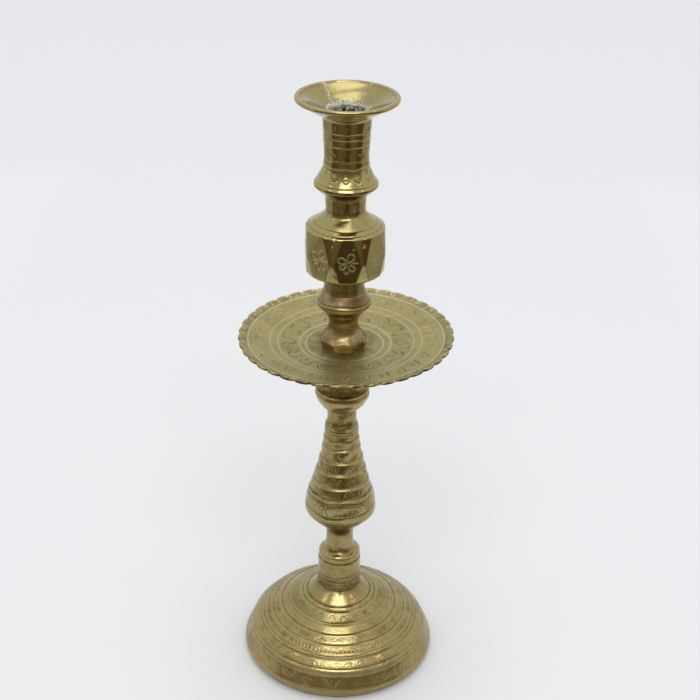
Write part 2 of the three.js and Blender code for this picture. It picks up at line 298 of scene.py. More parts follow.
# %% Build the mesh
def mesh_from_grid(name, grid, notes, closed):
    """A mesh of rows and columns that closes round the axis, and along the rows or at two poles."""
    rows, columns = grid.shape[:2]
    index = np.arange(rows * columns).reshape(rows, columns)
    below = np.roll(index, -1, 0) if closed else index[1:]
    above = index if closed else index[:-1]
    quads = np.stack([above, below, np.roll(below, -1, 1), np.roll(above, -1, 1)], -1).reshape(-1, 4)
    points = grid.reshape(-1, 3)
    loops = [quads.ravel()]
    sizes = [np.full(len(quads), 4)]
    if not closed:
        poles = [grid[0].mean(0), grid[-1].mean(0)]
        points = np.concatenate([points, poles])
        first, last = index[0], index[-1]
        top = np.stack([np.full(columns, len(points) - 2), first, np.roll(first, -1)], -1)
        low = np.stack([np.full(columns, len(points) - 1), np.roll(last, -1), last], -1)
        loops += [top.ravel(), low.ravel()]
        sizes += [np.full(2 * columns, 3)]
        notes = {key: np.concatenate([n.ravel(), [n[0, 0], n[-1, 0]]]) for key, n in notes.items()}
    mesh = bpy.data.meshes.new(name)
    corner, size = np.concatenate(loops), np.concatenate(sizes)
    mesh.vertices.add(len(points))
    mesh.vertices.foreach_set("co", (points * MM).ravel())
    mesh.loops.add(len(corner))
    mesh.loops.foreach_set("vertex_index", corner)
    mesh.polygons.add(len(size))
    mesh.polygons.foreach_set("loop_start", np.concatenate([[0], np.cumsum(size)[:-1]]))
    mesh.update(calc_edges=True)
    for key, note in notes.items():
        mesh.attributes.new(key, "FLOAT", "POINT").data.foreach_set("value", note.ravel())
    mesh.polygons.foreach_set("use_smooth", np.full(len(size), True))
    assert not mesh.validate(), name
    piece = bpy.data.objects.new(name, mesh)
    bpy.context.scene.collection.objects.link(piece)
    print(f"{name}: {rows} rows, {columns} columns, {sum(size - 2)} triangles")
    return piece


# %% Dents, stains and seams
SEAM_REACH = 3.0


def pressed(outline, place, at, around, bands, pits):
    """The dents of marks and pits over the grid, in millimetres, and how full of old polish they are."""
    dent, polish_and_highlight = np.zeros((len(at), len(around))), np.zeros((len(at), len(around)))
    for band in bands:
        marks = struck(outline, band, at, around)
        dent += marks
        polish_and_highlight += marks * band.get("polish_and_highlight", 0.0) / band.get("deep", USUAL_DEPTH)
    for degrees, spot, pit_radius, pit_deep in pits:
        turn = (around - math.radians(degrees) + math.pi) % (2 * math.pi) - math.pi
        far = np.hypot(turn[None] * spot[0], at[:, None] - place[nearest(outline, spot)])
        dent += pit_deep * np.exp(-(far / pit_radius) ** 2)
    return dent, polish_and_highlight


def stain_and_shade_amount(outline, place, at, stains_and_shade):
    """How soiled each row is, painted shade counted in: each is a spot, its reach in millimetres and its
    strength.
    """
    stain_and_shade = np.zeros_like(at)
    for spot, reach, share in stains_and_shade:
        stain_and_shade += share * np.exp(-((at - place[nearest(outline, spot)]) / reach) ** 4)
    return stain_and_shade


def free_of_seams(heights, seams):
    """From 0 at a seam to 1 a little way off it, so that the castings still meet face to face."""
    free = np.ones_like(heights)
    for seam in seams:
        free = np.minimum(free, np.clip(np.abs(heights - seam) / SEAM_REACH, 0, 1))
    return free


print("1 mm from a seam the skin wanders by a share of", round(float(free_of_seams(np.ones(1), (0,))[0]), 2))

# %% Turn a casting
SIDE_SOFTNESS, BULGE_REACH = 0.12, 0.8
FULL_DENT, FULL_HOLLOW, FULL_WEAR = 0.22, 0.2, 0.14


def turned(name, columns, outside, inside=(), rings=(), bands=(), faces=None, pits=(), stains_and_shade=(), still=(),
           uneven=0.05, adrift=0.1, finer=1.0):
    """A casting: an outline turned, with its rings, marks, ground faces, dents and pits."""
    closed = bool(inside)
    outer = trace(outside)
    outline = trace([*outside, *inside, outside[0]]) if closed else outer
    shape, ring_cut, ring_polish_and_highlight = with_rings(outline, rings)
    place, side = along(outline), outward(softened(shape, SIDE_SOFTNESS))
    bulge = ((shape - softened(shape, BULGE_REACH)) * side).sum(1)

    at = row_places(shape, place, len(outer), rings, bands, finer)
    at = at[:-1] if closed else at[1:-1]
    around = np.arange(columns) * 2 * math.pi / columns
    radius, height = (np.interp(at, place, shape[:, k])[:, None] for k in (0, 1))
    out_r, out_z = (np.interp(at, place, side[:, k])[:, None] for k in (0, 1))
    visible = (np.interp(at, place, (np.arange(len(shape)) < len(outer)).astype(float)) > 0.5)[:, None]
    full = np.ones((len(at), columns))

    dent, polish_and_highlight = pressed(outline, place, at, around, bands, pits)
    free = free_of_seams(height, still) * visible
    skin = wander(at, around, uneven) * free
    drift = wander(at, around, adrift) * free
    r = radius + out_r * skin
    if faces:
        r = faces(r, height + out_z * skin, around * full)
    r = r - out_r * dent
    z = height + drift + out_z * (skin - dent)
    grid = np.stack([r * np.sin(around), -r * np.cos(around), z], -1)
    notes = {
        "cut": np.clip(np.interp(at, place, ring_cut)[:, None] + dent / FULL_DENT, 0, 1),
        "polish_and_highlight": np.clip(polish_and_highlight + np.interp(at, place, ring_polish_and_highlight)[:, None], 0, 1),
        "stain_and_shade": stain_and_shade_amount(outline, place, at, stains_and_shade)[:, None] * full,
        "hollow": np.clip(-np.interp(at, place, bulge) / FULL_HOLLOW, 0, 1)[:, None] * full,
        "worn": np.clip(np.interp(at, place, bulge) / FULL_WEAR, 0, 1)[:, None] * full,
        "skin": np.where(visible, 0.0, 1.0) * full,
        "along": at[:, None] * full,
    }
    return mesh_from_grid(name, grid, notes, closed)


# %% [markdown]
# ## Foot
#
# The foot is a hollow dome, cast about 3 mm thick and open below, with a solid neck that is bored and
# tapped for the stud. Its dome is turned into low steps, with a band of hand marks on each: small
# arches, a wavy line, a row of wedges, scallops, and fans of graver cuts on the steep flank. Like all
# the castings it is one outline, given as the turner would read it off with callipers.

# %% Foot outline and rings
FOOT_TOP, FOOT_NECK = 74.0, 14.4
SEAM_BEVEL = 0.4
STUD_HOLE = 5.3
foot_outside = [
    (STUD_HOLE, FOOT_TOP), (FOOT_NECK - SEAM_BEVEL, FOOT_TOP), (FOOT_NECK, FOOT_TOP - SEAM_BEVEL),
    (FOOT_NECK, 52), (15.3, 50.65, PULL), (21.5, 45.0), (24.9, 43.5), (26.6, 43.0), (32.6, 39.3),
    (34.9, 38.55), (39.3, 35.3), (40.9, 34.75), (45.5, 31.45), (47.8, 30.2), (52.0, 26.9), (54.5, 24.9),
    (58.5, 21.9, PULL), (60, 18), (65.5, 6), (63.7, 2.7, PULL), (61.1, 0),
]
foot_inside = [(58.1, 0), (59.1, 6), (57, 18, PULL), (51.5, 21.9), (38, 32.4), (21.5, 41.5),
               (STUD_HOLE, 42)]
foot_rings = [
    (14.3, 73.7, 0.35, -0.3), (FOOT_NECK, 67.5, 0.35, -0.05), (FOOT_NECK, 62.5, 0.35, -0.10),
    (FOOT_NECK, 58.5, 0.35, -0.08),
    (21.9, 44.8, 0.45, -0.20), (23.2, 44.1, 0.6, 0.26), (24.9, 43.3, 0.4, -0.14),
    (33.2, 39.1, 0.6, 0.22), (34.9, 38.5, 0.4, -0.14), (39.3, 35.3, 0.45, -0.14),
    (40.6, 34.9, 0.5, 0.20), (45.6, 31.4, 0.4, -0.14), (46.7, 30.8, 0.55, 0.24),
    (47.9, 30.1, 0.35, -0.12), (50.8, 28.0, 0.45, 0.16), (52.1, 27.0, 0.4, -0.12), (53.0, 26.3, 0.5, 0.26),
    (54.2, 25.2, 0.4, -0.14), (58.7, 20.8, 0.35, -0.14), (59.4, 19.6, 0.5, 0.24), (60.1, 17.9, 0.35, -0.14),
    (60.7, 16.8, 0.45, 0.14), (64.9, 7.9, 0.9, 0.20),
]
measure("foot", foot_outside)

# %% Foot marks
foot_bands = [
    {"count": 6, "at": (FOOT_NECK, 55), "turn": 0.45, "strokes": [arc(0, 0, 1.1, 1.1, 0, 360, 9)],
     "width": 0.35, "astray": 0.4},
    {"count": 22, "at": (28.8, 41.5), "turn": 0.5, "astray": 0.3, "deep": 0.2, "width": 0.32,
     "strokes": [arc(0, -1.3, 2.2, 2.5, 180, 0)]},
    {"count": 24, "at": (43.2, 33.0), "astray": 0.3, "deep": 0.2, "width": 0.32,
     "strokes": [[(-3.6, -1.0), (-1.6, -0.5), (0, 1.1), (1.7, -0.6), (3.4, -1.0)]]},
    {"count": 112, "at": (49.3, 29.1), "astray": 0.14, "deep": 0.26, "width": 0.36,
     "strokes": [[(-0.7, 0.8), (-0.15, -0.7), (0.15, -0.7), (0.7, 0.8)]]},
    {"count": 42, "at": (56.6, 23.2), "astray": 0.3, "deep": 0.18, "width": 0.34,
     "strokes": [arc(0, -1.0, 2.6, 2.0, 170, 10), [(-0.15, -1.2), (0.15, -1.2)]]},
    {"count": 12, "at": (62.7, 12.1), "turn": 0.1, "astray": 0.5, "polish_and_highlight": 0.45,
     "strokes": [[(-5.6, 2.4), (-2.6, -2.8)], [(-3.4, 2.2), (-1.5, -1.6)], [(0, 1.6), (0, 0.2)],
                 [(-0.1, -2.6), (0.1, -2.6)], [(2.6, -2.8), (5.8, 2.4)]]},
    {"count": 12, "at": (62.7, 12.1), "turn": 0.6, "astray": 0.6, "polish_and_highlight": 0.35,
     "strokes": [[(-3.2, 2.4), (-1.6, -2.4)], [(-1.2, 2.8), (-0.2, -2.2)], [(2.8, 2.4), (1.4, -2.4)]]},
]
tally("foot", foot_bands)


# %% Make the foot
PIT_SLOPE = 0.6


def scattered_pits(outline, number, low, high, smallest=0.3, largest=0.75):
    """Blow holes of the casting, anywhere round a stretch of the outline between two heights."""
    points = trace(outline)
    inside = points[(points[:, 1] > low) & (points[:, 1] < high)]
    spots = inside[chance.integers(0, len(inside), number)]
    sizes = chance.uniform(smallest, largest, number) ** 1.5 + 0.15
    return [(chance.uniform(0, 360), tuple(s), size, size * PIT_SLOPE) for s, size in zip(spots, sizes)]


seam_chips = [(34, (14.3, 73.6), 0.9, 0.5), (41, (14.3, 73.2), 0.6, 0.5), (-52, (14.3, 73.7), 0.7, 0.35),
              (12, (FOOT_NECK, 73.7), 0.5, 0.3)]
foot = turned("foot_casting", 600, foot_outside, foot_inside, foot_rings, foot_bands,
              pits=[*seam_chips, *scattered_pits(foot_outside, 60, 4, 72)],
              stains_and_shade=[((FOOT_NECK, FOOT_TOP), 0.7, 1.5), ((FOOT_NECK, 62), 11, 0.2), ((14.5, 51.5), 2.5, 0.5),
                      ((29, 41.4), 3, 0.3), ((43, 33), 2, 0.3), ((60.5, 15), 7, 0.25)],
              still=(FOOT_TOP, 0), uneven=0.07, adrift=0.15)

# %% [markdown]
# ## Lower stem
#
# One casting: a ferrule on the foot, a waist, a bell of stepped rings, a short neck and a cup that
# carries the collar. Each step of the bell rises almost straight and ends in a narrow bright shoulder
# with a dark line over it, and the two lowest and widest steps carry slanting graver cuts in groups.
# The steps are part of the outline, and only their fine beads and grooves are rings, because a step
# this tall shows in the silhouette.

# %% Lower stem outline and rings
STEM_TOP = 204.5
stem_outside = [
    (STUD_HOLE, STEM_TOP), (16.8, STEM_TOP), (17.2, STEM_TOP - SEAM_BEVEL), (17.65, 202.6),
    (17.5, 201.2, PULL), (16.9, 199.9), (14.8, 195.4), (9.3, 191.65, PULL), (9.3, 190.4), (9.5, 187.4),
    (9.5, 183.75), (9.7, 181.0, PULL), (10.4, 180.0), (10.7, 179.3), (11.2, 170.3), (11.7, 169.4),
    (12.15, 164.1),
    (12.65, 163.1), (13.5, 156.1), (14.3, 154.5), (15.45, 147.9), (16.25, 146.3), (17.85, 138.9),
    (18.8, 137.1), (20.25, 131.0), (21.1, 129.4), (22.2, 126.3), (23.75, 116.5), (23.8, 115.2),
    (23.3, 112.6, PULL), (20.9, 110), (11.8, 100.4), (8.9, 97.4, PULL), (8.9, 93), (9.4, 86), (9.4, 84),
    (9.9, 81.3, PULL), (12.2, 80), (13.6, 79, PULL), (14.05, 77.6), (14, FOOT_TOP + SEAM_BEVEL),
    (13.6, FOOT_TOP),
]
stem_inside = [(STUD_HOLE, FOOT_TOP)]
stem_rings = [
    (10.95, 176.4, 0.45, 0.24), (11.0, 174.6, 0.35, 0.16), (11.7, 169.3, 0.3, 0.08),
    (12.6, 162.9, 0.3, 0.08), (11.95, 164.5, 0.35, -0.14), (14.2, 154.4, 0.3, 0.09),
    (13.6, 155.9, 0.35, -0.14), (16.15, 146.2, 0.3, 0.09), (15.5, 147.8, 0.35, -0.16),
    (18.65, 137.1, 0.32, 0.1), (18.0, 138.7, 0.35, -0.20), (21.1, 129.3, 0.6, 0.24),
    (20.4, 131.0, 0.4, -0.24), (22.1, 126.5, 0.4, -0.16), (23.35, 119.4, 0.4, -0.16),
    (23.8, 114.6, 0.35, -0.20), (23.0, 112.0, 0.35, -0.20), (17.4, 204.0, 0.4, -0.30),
    (13.8, 74.3, 0.4, -0.25),
]
measure("lower stem", stem_outside)

# %% Lower stem marks
stem_bands = [
    {"count": 11, "at": (22.8, 122.6), "astray": 0.5, "deep": 0.22, "width": 0.3, "polish_and_highlight": 0.5,
     "strokes": [[(-5.0, -2.4), (-2.6, 2.4)], [(-1.4, -2.2), (-0.7, 1.0)], [(1.2, -2.2), (0.6, 1.0)],
                 [(5.0, -2.4), (2.6, 2.2)]]},
    {"count": 12, "at": (19.4, 134.2), "turn": 0.4, "astray": 0.5, "deep": 0.2, "width": 0.3, "polish_and_highlight": 0.35,
     "strokes": [[(-3.0, -2.2), (-0.9, 2.0)], [(3.2, -2.2), (1.4, 1.6)]]},
    {"count": 9, "at": (17.0, 142.4), "astray": 0.6, "deep": 0.2, "width": 0.35,
     "strokes": [[(-1.6, -1.6), (0.4, 1.6)]]},
    {"count": 8, "at": (14.8, 151.2), "turn": 0.3, "astray": 0.6, "deep": 0.2, "width": 0.35,
     "strokes": [[(1.2, -1.8), (-0.4, 1.6)]]},
    {"count": 9, "at": (12.9, 159.6), "turn": 0.2, "astray": 0.5, "deep": 0.2, "width": 0.35,
     "strokes": [[(-1.0, -1.2), (0.8, 1.0)]]},
    {"count": 7, "at": (11.8, 167.0), "astray": 0.3, "deep": 0.2, "width": 0.3, "polish_and_highlight": 0.5,
     "strokes": [[(-1.0, -1.6), (0, 1.5)], [(1.0, -1.6), (0, 1.5)], [(-0.7, -1.4), (0.7, -1.4)]]},
]
tally("lower stem", stem_bands)

# %% Make the lower stem
lower_stem = turned("lower_stem_casting", 384, stem_outside, stem_inside, stem_rings, stem_bands,
                    pits=scattered_pits(stem_outside, 44, 76, 200),
                    stains_and_shade=[((17.2, STEM_TOP), 0.9, 1.5), ((14, FOOT_TOP), 0.7, 1.5), ((9.5, 187), 8, 0.3),
                            ((10.9, 179), 1.5, 0.8), ((11.0, 172), 6, 0.25), ((16, 146), 12, 0.2),
                            ((20.4, 131), 1.2, 0.7), ((10, 98), 4, 0.5)],
                    still=(FOOT_TOP, STEM_TOP), uneven=0.09, adrift=0.4)

# %% [markdown]
# ## Collar
#
# The collar is a spool-shaped spacer that clears the tray from the cup below. It hardly shows, so it is
# a plain turned outline with a few blow holes and no ornament. It is darkened all over, which paints the
# shadow that the tray throws on it.

# %% Make the collar
TRAY_BOTTOM = 236.2
TRAY_HOLE = 5.5
COLLAR_EDGE = 17.2
COLLAR_FACE = COLLAR_EDGE - SEAM_BEVEL
collar_outside = [
    (TRAY_HOLE, TRAY_BOTTOM), (COLLAR_FACE, TRAY_BOTTOM), (COLLAR_EDGE, TRAY_BOTTOM - SEAM_BEVEL),
    (COLLAR_EDGE, 234.4), (10.6, 232.6, PULL), (11.5, 220.35), (10.6, 208.1, PULL), (COLLAR_EDGE, 206.3),
    (COLLAR_EDGE, STEM_TOP + SEAM_BEVEL), (COLLAR_FACE, STEM_TOP),
]
measure("collar", collar_outside)
# The darkening on the collar is painted shadow: the shade that the tray above throws on it.
collar = turned("collar_spacer", 256, collar_outside, [(TRAY_HOLE, STEM_TOP)],
                pits=scattered_pits(collar_outside, 8, 206, 234), stains_and_shade=[((12, 220), 16, 0.9)],
                still=(STEM_TOP, TRAY_BOTTOM), uneven=0.1)

# %% [markdown]
# ## Drip tray
#
# The tray is cut from sheet brass, dished a little and nipped round its edge into forty lobes. It lies
# loose between the collar and the upper spool. Its face carries five scribed circles, a wavy band of
# curved punch marks and a row of hooked ones. A disc cut by a curve and thickened would do for the
# sheet, but turning it like the castings lets the same rings and marks go into it, and one small
# function then draws the edge in between the lobes.

# %% Tray edge
LOBES = 40
LOBE_DEPTH = 1.5
TRAY_LINE, TRAY_EDGE = 62.0, 68.1
NIP_START = TRAY_LINE + 0.6


def nipped(r, z, around):
    """Draws the tray's edge in between the lobes, as a pair of nippers and a file leave it."""
    notch = LOBE_DEPTH * (1 - np.abs(np.sin(around * LOBES / 2))) ** 1.5
    return r - notch * np.clip((r - NIP_START) / (TRAY_EDGE - NIP_START), 0, 1) ** 1.6


print("each lobe is", round(2 * math.pi * TRAY_EDGE / LOBES, 1), "mm wide")

# %% Tray outline and circles
TRAY_TOP = 237.8
tray_outside = [
    (TRAY_HOLE, TRAY_TOP), (26, TRAY_TOP), (TRAY_LINE, 243.1), (67.2, 244.9), (TRAY_EDGE, 244.9, PULL),
    (TRAY_EDGE, 244.1), (TRAY_EDGE, 243.8), (68.0, 243.1, PULL), (67.0, 243.1), (TRAY_LINE, 241.5),
    (26, TRAY_BOTTOM), (COLLAR_FACE, TRAY_BOTTOM),
]
# The pale fill of these circles is dried polish and also a painted highlight on each fine cut.
tray_rings = [(62, 243.1, 0.32, -0.1, 1.4), (48.1, 241.0, 0.26, -0.06, 1.0), (43, 240.3, 0.26, -0.06, 0.9),
              (29, 238.2, 0.28, -0.08, 1.4), (24.5, TRAY_TOP, 0.28, -0.08, 1.4)]
measure("tray", tray_outside)

# %% Tray marks
WAVES, WAVE_RADIUS, BOW_HALF_DEGREES = 18, 36, 6.6


def bow(ends_radius, top_radius):
    """One bowed stroke of the tray's wavy band, whose ends and top lie at two radii."""
    share = np.linspace(-1, 1, 9)
    right = np.radians(BOW_HALF_DEGREES) * share * WAVE_RADIUS
    out = ends_radius + (top_radius - ends_radius) * (1 - share ** 2) ** 0.6
    return [(float(x), float(WAVE_RADIUS - y)) for x, y in zip(right, out)]


bow_punch = {"count": WAVES, "at": (WAVE_RADIUS, 239.2), "astray": 0.14, "deep": 0.3, "width": 0.42}
tray_bands = [
    {**bow_punch, "strokes": [bow(37.1, 40.6)]},
    {**bow_punch, "strokes": [bow(35.6, 31.4)], "turn": 0.5},
    {"count": 28, "at": (54.6, 242.0), "astray": 0.3, "deep": 0.34, "width": 0.46, "polish_and_highlight": 0.2,
     "strokes": [arc(0, 0, 2.4, 2.4, 150, 380), [(2.2, 0.8), (3.2, 3.0)]]},
    {"count": LOBES, "at": (65.0, 244.1), "astray": 0.3, "deep": 0.24, "width": 0.45, "polish_and_highlight": 0.7,
     "strokes": [[(0, -2.4), (0, 0.8)]]},
    {"count": 64, "at": (65.6, 244.3), "turn": 0.3, "astray": 0.7, "deep": 0.14, "width": 0.4,
     "polish_and_highlight": 0.8, "strokes": [[(-0.3, -1.6), (0.2, 1.0)]]},
]
tally("tray", tray_bands)

# %% Make the tray
# The tray is darkened round the spool's foot and round the rim, over its top, edge and underside.
tray = turned("drip_tray_sheet", 720, tray_outside, [(TRAY_HOLE, TRAY_BOTTOM)], tray_rings, tray_bands,
              faces=nipped, pits=scattered_pits(tray_outside, 16, 238, 245, 0.2, 0.5),
              stains_and_shade=[((14, TRAY_TOP), 11, 0.7), ((TRAY_EDGE, 244.0), 1.6, 1.8), ((64.8, 244.0), 2.6, 0.7),
                      ((66, 242.8), 3, 1.8), ((WAVE_RADIUS, 239.2), 6, 0.15)], uneven=0.0, adrift=0.0)

# %% [markdown]
# ## A knocked tray
#
# The real sheet was cut by hand and has been knocked in use: its rim lies nearly two millimetres off
# centre and rises to one side by about a degree. Moving only the points outside the clamped middle
# keeps the tray flat and centred where the collar and the spool hold it.

# %% Bend the tray
OFF_CENTRE, BENT_UP = 1.7, 0.017
CLAMPED_RADIUS, BEND_OVER = 18, 14
rim = np.zeros(3 * len(tray.data.vertices))
tray.data.vertices.foreach_get("co", rim)
rim = rim.reshape(-1, 3)
outer_share = np.clip((np.hypot(rim[:, 0], rim[:, 1]) / MM - CLAMPED_RADIUS) / BEND_OVER, 0, 1)
rim[:, 2] += BENT_UP * rim[:, 0] * outer_share
rim[:, 0] += OFF_CENTRE * MM * outer_share
tray.data.vertices.foreach_set("co", rim.ravel())
tray.data.update()
rim_ends = [round(float(v) / MM, 1) for v in (rim[:, 0].min(), rim[:, 0].max())]
print("the tray's rim now spans", rim_ends, "mm")

# %% [markdown]
# ## Upper spool
#
# The spool clamps the tray. It was turned first, and then eight short flats that lean outwards were
# filed round its foot. Above its waist a rounded flange stands out, and a long flare runs up to the neck.
# Flats could be cut by booleans. Here each point's radius is held back to the flat in its direction,
# with the edge rounded over, as a file leaves it, so the fine rows of the mesh stay whole.

# %% Upper spool outline
SPOOL_BOTTOM, SPOOL_TOP = TRAY_TOP, 288.3
spool_outside = [
    (STUD_HOLE, SPOOL_TOP), (12.1, SPOOL_TOP), (12.5, SPOOL_TOP - SEAM_BEVEL), (12.5, 278.8),
    (12.9, 275.2, PULL), (16.6, 269.4), (17.3, 269.1, PULL), (17.2, 268.0), (17.1, 266.4, PULL),
    (16.2, 265.7), (9.2, 258.3, PULL), (9.2, 254.0), (9.2, 250.3, PULL), (10.7, 248.0), (14.6, 242.7),
    (15.2, 241.8, PULL), (15.2, 240.6), (15.2, SPOOL_BOTTOM + SEAM_BEVEL), (14.8, SPOOL_BOTTOM),
]
spool_rings = [(13.1, 276.0, 0.4, -0.12), (16.1, 270.0, 0.35, -0.2), (12.0, 262.2, 0.35, -0.14),
               (10.8, 260.6, 0.4, 0.2), (10.2, 259.3, 0.35, -0.12)]
measure("upper spool", spool_outside)

# %% File the flats and make the spool
FLAT_REACH, FLAT_LEAN = 13.3, 0.25
EDGE_ROUNDING = 0.3
EIGHTH = math.pi / 4


def rounded_min(a, b):
    """The smaller of two radii, with the edge between them rounded over."""
    apart = np.clip(0.5 + 0.5 * (b - a) / EDGE_ROUNDING, 0, 1)
    return b * (1 - apart) + a * apart - EDGE_ROUNDING * apart * (1 - apart)


def eight_flats(r, z, around):
    """Files eight flats on the spool's foot that lean outwards, one of them facing the front."""
    off = (around + EIGHTH / 2) % EIGHTH - EIGHTH / 2
    flat = (FLAT_REACH + FLAT_LEAN * (z - SPOOL_BOTTOM)) / np.cos(off)
    return np.where(r > 8, rounded_min(r, flat), r)


upper_spool = turned("upper_spool_casting", 320, spool_outside, [(STUD_HOLE, SPOOL_BOTTOM)], spool_rings,
                     faces=eight_flats, pits=scattered_pits(spool_outside, 8, 240, 286),
                     stains_and_shade=[((12.5, 283), 5, 0.5), ((15, 272), 5, 0.4), ((11, 261), 4, 0.5),
                             ((14, 241), 5, 0.6)],
                     still=(SPOOL_BOTTOM, SPOOL_TOP), uneven=0.1, adrift=0.2)

# %% [markdown]
# ## Knop
#
# The knop is the grip in the middle of the stem: a drum with eight shield-shaped faces ground on its
# sides. Eight more planes, leaning inward to the bottom, cut the corners between them, so that each
# shield narrows downwards. Every shield has a flower in thin outline, cut petal by petal with a
# graver, and every corner has one punched dot. The planes are ground as the spool's flats were, so the
# flowers can be struck into the same skin.

# %% Ground faces of the knop
KNOP_BOTTOM, KNOP_TOP = SPOOL_TOP, 338.5
SHIELD_TURN = math.radians(5.3)
SHIELD_REACH, SHIELD_LEAN, SHIELD_TOP = 24.2, 0.008, 319.1
FACET_REACH, FACET_LEAN, FACET_TOP = 25.6, 0.13, 302.1
DRUM_TOP, KNOP_GRIP = 321, 14


def shields_and_corners(r, z, around):
    """Grinds eight upright shields and eight leaning corner planes on the knop's drum."""
    off_shield = (around - SHIELD_TURN + EIGHTH / 2) % EIGHTH - EIGHTH / 2
    off_corner = (around - SHIELD_TURN) % EIGHTH - EIGHTH / 2
    shield = (SHIELD_REACH - SHIELD_LEAN * (SHIELD_TOP - z)) / np.cos(off_shield)
    corner = (FACET_REACH - FACET_LEAN * (FACET_TOP - z)) / np.cos(off_corner)
    ground = rounded_min(rounded_min(r, shield), corner)
    return np.where((r > KNOP_GRIP) & (z < DRUM_TOP) & (z > KNOP_BOTTOM + 0.1), ground, r)


for place, turn in (("middle of a shield", SHIELD_TURN), ("corner between two", SHIELD_TURN + EIGHTH / 2)):
    print("310 mm up, the", place, "is", round(float(shields_and_corners(30.0, 310.0, turn)), 1), "mm out")

# %% Knop outline
knop_outside = [
    (STUD_HOLE, KNOP_TOP), (12.2, KNOP_TOP), (12.6, KNOP_TOP - SEAM_BEVEL), (12.6, 337.5), (12.2, 330.2),
    (12.2, 327.9, PULL), (13.6, 326.6), (15.7, 324.7), (18.8, 322.4), (24.0, 319.1), (24.35, 318.6),
    (26.4, 291.5), (21.3, KNOP_BOTTOM),
]
knop_rings = [(22.3, 320.2, 0.4, -0.18), (19.2, 322.0, 0.35, -0.14)]
measure("knop", knop_outside)


# %% Flowers and dots
def petal(degrees, long, half_wide, points=13):
    """The outline of a petal that starts and ends in the middle of the flower."""
    share = np.linspace(0, 1, points)
    out = long * np.sin(math.pi * share)
    across = half_wide * np.sin(2 * math.pi * share)
    a = math.radians(degrees)
    return [(float(o * math.cos(a) - w * math.sin(a)), float(o * math.sin(a) + w * math.cos(a)))
            for o, w in zip(out, across)]


flower = [petal(62, 6.8, 2.1), petal(152, 6.6, 1.9), petal(214, 5.6, 1.4), petal(262, 6.8, 1.5),
          petal(310, 6.4, 1.6), [(1.6, 0.3), (6.6, 0.6)]]
knop_bands = [
    {"count": 8, "at": (25.3, 303.5), "turn": -SHIELD_TURN / EIGHTH, "astray": 0.3, "deep": 0.18,
     "width": 0.34, "polish_and_highlight": 0.6, "strokes": flower},
    {"count": 8, "at": (24.7, 313.5), "turn": 0.5 - SHIELD_TURN / EIGHTH, "astray": 0.3, "deep": 0.5,
     "width": 0.6, "strokes": [[(-0.1, 0), (0.1, 0)]]},
]
tally("knop", knop_bands)

# %% Make the knop
knop = turned("knop_casting", 512, knop_outside, [(STUD_HOLE, KNOP_BOTTOM)], knop_rings, knop_bands,
              faces=shields_and_corners, finer=1.15,
              pits=[(-37, (24.6, 317.0), 0.5, 0.5), *scattered_pits(knop_outside, 10, 292, 335)],
              stains_and_shade=[((12.4, 334), 6, 0.25), ((25.6, 297), 8, 0.2)],
              still=(KNOP_BOTTOM, KNOP_TOP), uneven=0.04)

# %% [markdown]
# ## Candle socket
#
# The socket was cast with a thick neck, bored for a candle of 22 mm, and spread at its mouth into a
# dish that catches the wax. Fine grooves ring the neck, and the bulge below it has a row of small
# circle punches with petals under them. Its bore is blind, so this outline starts and ends on the axis
# and the mesh closes there at two poles, instead of round a through hole.

# %% Socket outline
SOCKET_BOTTOM = KNOP_TOP
BORE, BORE_MOUTH, BORE_FLOOR = 11.0, 390.8, 357.0
TAPPED_TO = 350.5
socket_outside = [
    (0, BORE_FLOOR), (BORE, BORE_FLOOR), (BORE, BORE_MOUTH), (27.8, 399.2), (28.2, 399.95), (29.7, 400),
    (31.1, 400, PULL), (31.1, 398.5), (31.1, 397.3, PULL), (28.5, 396.4), (19.4, 391),
    (14.65, 389, PULL), (14.65, 387), (13.45, 364), (13.8, 359), (13.8, 354.9, PULL), (19.45, 347.0),
    (19.65, 346.0, PULL), (19.45, 345.0), (12.6, SOCKET_BOTTOM + SEAM_BEVEL), (12.2, SOCKET_BOTTOM),
    (STUD_HOLE, SOCKET_BOTTOM), (STUD_HOLE, TAPPED_TO), (0, TAPPED_TO),
]
measure("socket", socket_outside)

# %% Socket rings and marks
socket_rings = [
    (14.3, 380, 0.4, -0.18), (14.1, 376.4, 0.4, -0.18), (13.9, 371.9, 0.4, -0.16),
    (13.45, 363.4, 0.4, -0.18), (13.8, 358.8, 0.5, 0.26), (18.4, 348.4, 0.35, -0.16),
    (19.0, 345.2, 0.3, -0.12),
]
socket_bands = [
    {"count": 10, "at": (13.6, 367.3), "astray": 0.3, "deep": 0.2, "width": 0.35,
     "strokes": [[(-1.4, 0.5), (1.2, -0.4)]]},
    {"count": 12, "at": (14.5, 383.6), "astray": 0.4, "deep": 0.18, "strokes": [[(-0.3, -1.4), (0.1, 1.4)]]},
    {"count": 13, "at": (14.2, 355.4), "astray": 0.2, "deep": 0.24, "width": 0.3,
     "strokes": [arc(0, 0, 0.9, 0.9, 0, 360, 9)]},
    {"count": 13, "at": (15.6, 352.4), "astray": 0.2, "deep": 0.2, "width": 0.32,
     "strokes": [arc(0, 1.6, 2.4, 2.6, 200, 340)]},
]
tally("socket", socket_bands)

# %% Make the socket
socket = turned("candle_socket_casting", 384, socket_outside, rings=socket_rings, bands=socket_bands,
                pits=scattered_pits(socket_outside, 14, 340, 398, 0.2, 0.5),
                stains_and_shade=[((14.0, 372), 16, 0.2), ((24, 394), 8, 0.3), ((16, 342), 5, 0.3),
                        ((BORE, 385), 8, 0.8)],
                still=(SOCKET_BOTTOM,), uneven=0.05)

